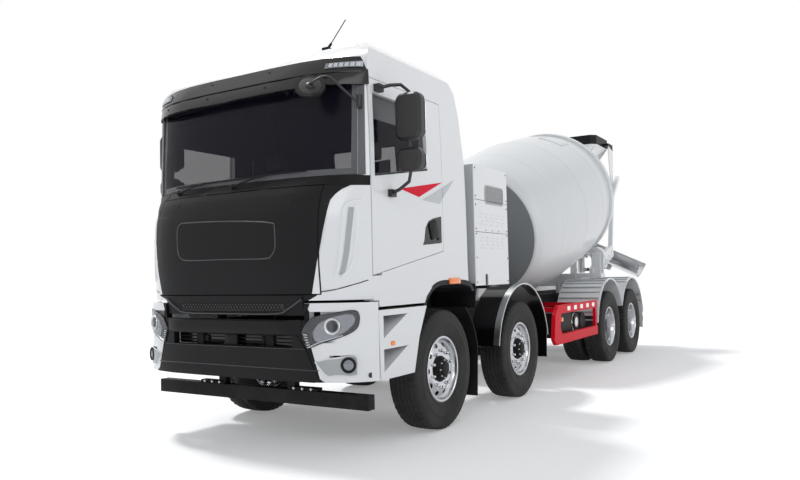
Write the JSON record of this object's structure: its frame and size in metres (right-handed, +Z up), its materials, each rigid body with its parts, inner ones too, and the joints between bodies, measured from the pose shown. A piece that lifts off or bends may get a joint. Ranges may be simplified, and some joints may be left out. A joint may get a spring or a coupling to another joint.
{
  "type": "concrete mixer truck",
  "caption": "Four-axle concrete mixer truck with a tilting cab, steered front axles, twin-tyred rear bogie, turning drum, charging hopper and swinging discharge chute.",
  "frame": {"origin": "on the ground, under the middle of the truck's overall length and width", "axes": "+Y from the cab to the discharge end, +X to the truck's left side, +Z up"},
  "size_m": [3.03, 9.7248, 3.9],
  "materials": {
    "white_paint": "gloss",
    "black_plastic": "matte",
    "chassis_paint": "satin",
    "tyre": "matte",
    "chrome": "polished",
    "silver_paint": "satin",
    "red_paint": "gloss",
    "glass": "gloss",
    "cab_trim": "matte",
    "drum_paint": "satin"
  },
  "bodies": {
    "chassis": {"chassis_frame": "chassis_paint", "engine_block": "chassis_paint", "equipment_cabinet": "white_paint", "battery_box": "black_plastic", "fuel_tank": "silver_paint", "rear_bar": "chassis_paint", "second_fenders": "black_plastic", "rear_fender_left": "white_paint", "rear_fender_right": "white_paint", "side_guard_left": "red_paint", "side_guard_right": "red_paint", "front_bumper": "white_paint", "step_panel_left": "white_paint", "step_panel_right": "white_paint", "front_axle_1": "chassis_paint", "front_axle_2": "chassis_paint", "rear_bogie": "chassis_paint", "drum_pedestal": "chassis_paint", "rear_support": "white_paint", "discharge_funnel": "silver_paint"},
    "cab": {"cab_body": "white_paint", "cab_front": "white_paint", "cab_roof": "white_paint", "windscreen": "glass", "sun_visor": "black_plastic", "seats": "cab_trim", "dashboard": "cab_trim"},
    "front_lid": {"front_lid": "black_plastic"},
    "door_left": {"door_left": "white_paint"},
    "door_right": {"door_right": "white_paint"},
    "drum": {"drum": "drum_paint"},
    "hopper": {"hopper": "silver_paint"},
    "chute_bracket": {"chute_bracket": "black_plastic"},
    "chute": {"chute": "silver_paint"},
    "strut_barrel": {"chute_strut_barrel": "black_plastic"},
    "strut_rod": {"chute_strut_rod": "chrome"},
    "knuckle_1_left": {"knuckle_1_left": "chassis_paint"},
    "front_wheel_1_left": {"front_tyre_1_left": "tyre", "front_rim_1_left": "chrome"},
    "knuckle_1_right": {"knuckle_1_right": "chassis_paint"},
    "front_wheel_1_right": {"front_tyre_1_right": "tyre", "front_rim_1_right": "chrome"},
    "knuckle_2_left": {"knuckle_2_left": "chassis_paint"},
    "front_wheel_2_left": {"front_tyre_2_left": "tyre", "front_rim_2_left": "chrome"},
    "knuckle_2_right": {"knuckle_2_right": "chassis_paint"},
    "front_wheel_2_right": {"front_tyre_2_right": "tyre", "front_rim_2_right": "chrome"},
    "rear_wheels_1_left": {"rear_rims_1_left": "silver_paint", "rear_tyre_1_left_outer": "tyre", "rear_tyre_1_left_inner": "tyre"},
    "rear_wheels_1_right": {"rear_rims_1_right": "silver_paint", "rear_tyre_1_right_outer": "tyre", "rear_tyre_1_right_inner": "tyre"},
    "rear_wheels_2_left": {"rear_rims_2_left": "silver_paint", "rear_tyre_2_left_outer": "tyre", "rear_tyre_2_left_inner": "tyre"},
    "rear_wheels_2_right": {"rear_rims_2_right": "silver_paint", "rear_tyre_2_right_outer": "tyre", "rear_tyre_2_right_inner": "tyre"}
  },
  "joints": [
    {"name": "steer_1_left", "type": "hinge", "parent": "chassis", "child": "knuckle_1_left", "pos_m": [0.89, -3.2945, 0.5425], "axis": [0, 0, 1], "range_deg": [-36, 36]},
    {"name": "spin_front_1_left", "type": "hinge", "parent": "knuckle_1_left", "child": "front_wheel_1_left", "pos_m": [1.03, -3.2945, 0.5425], "axis": [1, 0, 0], "continuous": true},
    {"name": "steer_1_right", "type": "hinge", "parent": "chassis", "child": "knuckle_1_right", "pos_m": [-0.89, -3.2945, 0.5425], "axis": [0, 0, 1], "range_deg": [-36, 36]},
    {"name": "spin_front_1_right", "type": "hinge", "parent": "knuckle_1_right", "child": "front_wheel_1_right", "pos_m": [-1.03, -3.2945, 0.5425], "axis": [1, 0, 0], "continuous": true},
    {"name": "steer_2_left", "type": "hinge", "parent": "chassis", "child": "knuckle_2_left", "pos_m": [0.89, -1.4445, 0.5425], "axis": [0, 0, 1], "range_deg": [-23.4, 23.4]},
    {"name": "spin_front_2_left", "type": "hinge", "parent": "knuckle_2_left", "child": "front_wheel_2_left", "pos_m": [1.03, -1.4445, 0.5425], "axis": [1, 0, 0], "continuous": true},
    {"name": "steer_2_right", "type": "hinge", "parent": "chassis", "child": "knuckle_2_right", "pos_m": [-0.89, -1.4445, 0.5425], "axis": [0, 0, 1], "range_deg": [-23.4, 23.4]},
    {"name": "spin_front_2_right", "type": "hinge", "parent": "knuckle_2_right", "child": "front_wheel_2_right", "pos_m": [-1.03, -1.4445, 0.5425], "axis": [1, 0, 0], "continuous": true},
    {"name": "spin_rear_1_left", "type": "hinge", "parent": "chassis", "child": "rear_wheels_1_left", "pos_m": [1.089, 2.0555, 0.5425], "axis": [1, 0, 0], "continuous": true},
    {"name": "spin_rear_1_right", "type": "hinge", "parent": "chassis", "child": "rear_wheels_1_right", "pos_m": [-1.089, 2.0555, 0.5425], "axis": [1, 0, 0], "continuous": true},
    {"name": "spin_rear_2_left", "type": "hinge", "parent": "chassis", "child": "rear_wheels_2_left", "pos_m": [1.089, 3.4055, 0.5425], "axis": [1, 0, 0], "continuous": true},
    {"name": "spin_rear_2_right", "type": "hinge", "parent": "chassis", "child": "rear_wheels_2_right", "pos_m": [-1.089, 3.4055, 0.5425], "axis": [1, 0, 0], "continuous": true},
    {"name": "cab_tilt", "type": "hinge", "parent": "chassis", "child": "cab", "pos_m": [0, -4.7345, 0.91], "axis": [1, 0, 0], "range_deg": [0, 45]},
    {"name": "lid_hinge", "type": "hinge", "parent": "cab", "child": "front_lid", "pos_m": [0, -4.7765, 2.117], "axis": [-1, 0, 0], "range_deg": [0, 75]},
    {"name": "door_left_hinge", "type": "hinge", "parent": "cab", "child": "door_left", "pos_m": [1.192, -4.4805, 2.2], "axis": [0, 0, -1], "range_deg": [0, 68]},
    {"name": "door_right_hinge", "type": "hinge", "parent": "cab", "child": "door_right", "pos_m": [-1.192, -4.4805, 2.2], "axis": [0, 0, 1], "range_deg": [0, 68]},
    {"name": "drum_spin", "type": "hinge", "parent": "chassis", "child": "drum", "pos_m": [0, -0.1145, 1.925], "axis": [0, 0.9703, 0.2419], "continuous": true},
    {"name": "hopper_tilt", "type": "hinge", "parent": "chassis", "child": "hopper", "pos_m": [0, 4.6055, 3], "axis": [-1, 0, 0], "range_deg": [0, 60]},
    {"name": "chute_swing", "type": "hinge", "parent": "chassis", "child": "chute_bracket", "pos_m": [0, 4.6055, 1.64], "axis": [0, 0, 1], "range_deg": [0, 180]},
    {"name": "chute_tilt", "type": "hinge", "parent": "chute_bracket", "child": "chute", "pos_m": [0.06, 4.6055, 1.96], "axis": [0, -1, 0], "range_deg": [-8, 12]},
    {"name": "strut_pivot", "type": "hinge", "parent": "chute_bracket", "child": "strut_barrel", "pos_m": [0.095, 4.6055, 1.425], "axis": [0, -1, 0], "range_deg": [-10, 14]},
    {"name": "strut_slide", "type": "slide", "parent": "strut_barrel", "child": "strut_rod", "axis": [0.9989, 0, 0.0459], "range_m": [-0.0795, 0.1167]}
  ],
  "couplings": [
    {"joint": "steer_1_right", "follows": "steer_1_left", "ratio": 1},
    {"joint": "steer_2_left", "follows": "steer_1_left", "ratio": 0.65},
    {"joint": "steer_2_right", "follows": "steer_1_left", "ratio": 0.65},
    {"joint": "strut_pivot", "follows": "chute_tilt", "ratio": 1.0031},
    {"joint": "strut_slide", "follows": "chute_tilt", "m_per_rad": 0.53342}
  ]
}
